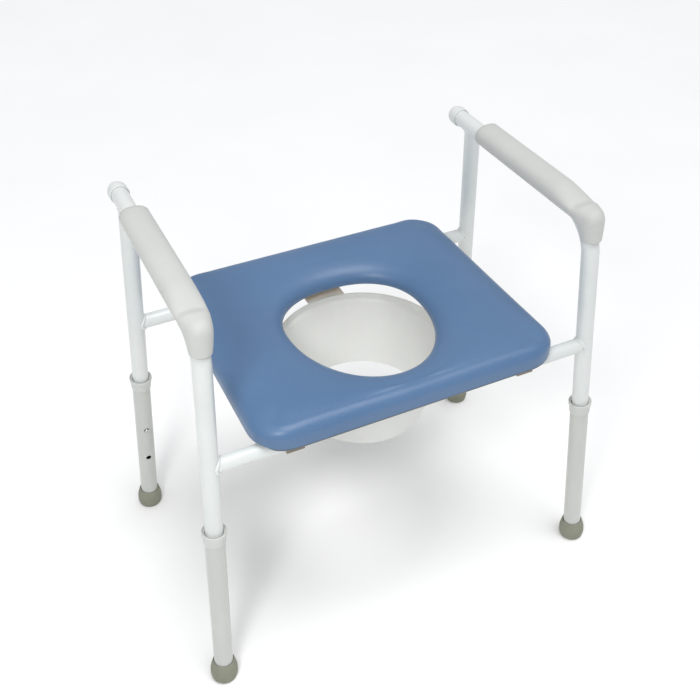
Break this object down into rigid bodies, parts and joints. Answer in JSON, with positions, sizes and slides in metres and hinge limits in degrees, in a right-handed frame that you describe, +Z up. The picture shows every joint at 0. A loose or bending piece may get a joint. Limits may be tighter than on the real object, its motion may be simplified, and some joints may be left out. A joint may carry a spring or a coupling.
{
  "type": "over-toilet frame",
  "caption": "Free-standing raised toilet seat frame with lift-up padded seat, hanging splash guard, padded armrests and height-adjustable telescoping legs.",
  "frame": {"origin": "centre of the object's bounding box, on the floor under the ferrules", "axes": "+Z up; +X across the width, towards the sitter's left as they sit down (the right of a viewer facing the front); the front of the seat faces -Y"},
  "size_m": [0.6858, 0.438, 0.6492],
  "materials": {
    "powder_coat": "gloss",
    "leg_coat": "gloss",
    "grip_foam": "matte",
    "collar_plastic": "satin",
    "ferrule_rubber": "matte",
    "zinc_steel": "satin",
    "clip_plastic": "matte",
    "seat_skin": "satin",
    "board": "matte",
    "guard_plastic": "satin"
  },
  "bodies": {
    "frame": {"left_arm_tube": "powder_coat", "left_armrest_grip": "grip_foam", "left_rear_cap": "powder_coat", "left_rear_upright": "powder_coat", "right_arm_tube": "powder_coat", "right_armrest_grip": "grip_foam", "right_rear_cap": "powder_coat", "right_rear_upright": "powder_coat", "front_rail": "powder_coat", "rear_rail": "powder_coat", "splash_guard": "guard_plastic", "front_left_button_spring": "zinc_steel", "rear_left_button_spring": "zinc_steel", "front_right_button_spring": "zinc_steel", "rear_right_button_spring": "zinc_steel"},
    "front_left_leg_body": {"front_left_leg": "leg_coat", "front_left_collar": "collar_plastic", "front_left_ferrule": "ferrule_rubber", "front_left_washer": "zinc_steel"},
    "rear_left_leg_body": {"rear_left_leg": "leg_coat", "rear_left_collar": "collar_plastic", "rear_left_ferrule": "ferrule_rubber", "rear_left_washer": "zinc_steel"},
    "front_right_leg_body": {"front_right_leg": "leg_coat", "front_right_collar": "collar_plastic", "front_right_ferrule": "ferrule_rubber", "front_right_washer": "zinc_steel"},
    "rear_right_leg_body": {"rear_right_leg": "leg_coat", "rear_right_collar": "collar_plastic", "rear_right_ferrule": "ferrule_rubber", "rear_right_washer": "zinc_steel"},
    "front_left_button_body": {"front_left_snap_button": "zinc_steel"},
    "rear_left_button_body": {"rear_left_snap_button": "zinc_steel"},
    "front_right_button_body": {"front_right_snap_button": "zinc_steel"},
    "rear_right_button_body": {"rear_right_snap_button": "zinc_steel"},
    "seat": {"seat_pad": "seat_skin", "seat_board": "board", "front_left_seat_clip": "clip_plastic", "rear_left_seat_clip": "clip_plastic", "front_right_seat_clip": "clip_plastic", "rear_right_seat_clip": "clip_plastic", "front_left_clip_screw_1": "zinc_steel", "front_left_clip_screw_2": "zinc_steel", "rear_left_clip_screw_1": "zinc_steel", "rear_left_clip_screw_2": "zinc_steel", "front_right_clip_screw_1": "zinc_steel", "front_right_clip_screw_2": "zinc_steel", "rear_right_clip_screw_1": "zinc_steel", "rear_right_clip_screw_2": "zinc_steel"}
  },
  "joints": [
    {"name": "front_left_leg_slide", "type": "slide", "parent": "frame", "child": "front_left_leg_body", "axis": [-0.0635, -0.0663, -0.9958], "range_m": [-0.067, 0], "deforming": ["front_left_snap_button"]},
    {"name": "rear_left_leg_slide", "type": "slide", "parent": "frame", "child": "rear_left_leg_body", "axis": [-0.0635, 0.0663, -0.9958], "range_m": [-0.067, 0], "deforming": ["rear_left_snap_button"]},
    {"name": "front_right_leg_slide", "type": "slide", "parent": "frame", "child": "front_right_leg_body", "axis": [0.0635, -0.0663, -0.9958], "range_m": [-0.067, 0], "deforming": ["front_right_snap_button"]},
    {"name": "rear_right_leg_slide", "type": "slide", "parent": "frame", "child": "rear_right_leg_body", "axis": [0.0635, 0.0663, -0.9958], "range_m": [-0.067, 0], "deforming": ["rear_right_snap_button"]},
    {"name": "front_left_button_press", "type": "slide", "parent": "frame", "child": "front_left_button_body", "axis": [-0.0042, 0.9978, -0.0661], "range_m": [-0.004, 0], "stiffness_N_per_m": 1500, "deforming": ["front_left_button_spring"]},
    {"name": "rear_left_button_press", "type": "slide", "parent": "frame", "child": "rear_left_button_body", "axis": [-0.0042, -0.9978, -0.0661], "range_m": [-0.004, 0], "stiffness_N_per_m": 1500, "deforming": ["rear_left_button_spring"]},
    {"name": "front_right_button_press", "type": "slide", "parent": "frame", "child": "front_right_button_body", "axis": [0.0042, 0.9978, -0.0661], "range_m": [-0.004, 0], "stiffness_N_per_m": 1500, "deforming": ["front_right_button_spring"]},
    {"name": "rear_right_button_press", "type": "slide", "parent": "frame", "child": "rear_right_button_body", "axis": [0.0042, -0.9978, -0.0661], "range_m": [-0.004, 0], "stiffness_N_per_m": 1500, "deforming": ["rear_right_button_spring"]},
    {"name": "seat_lift", "type": "hinge", "parent": "frame", "child": "seat", "pos_m": [0, 0.17147, 0.4145], "axis": [-1, 0, 0], "range_deg": [0, 95]}
  ]
}
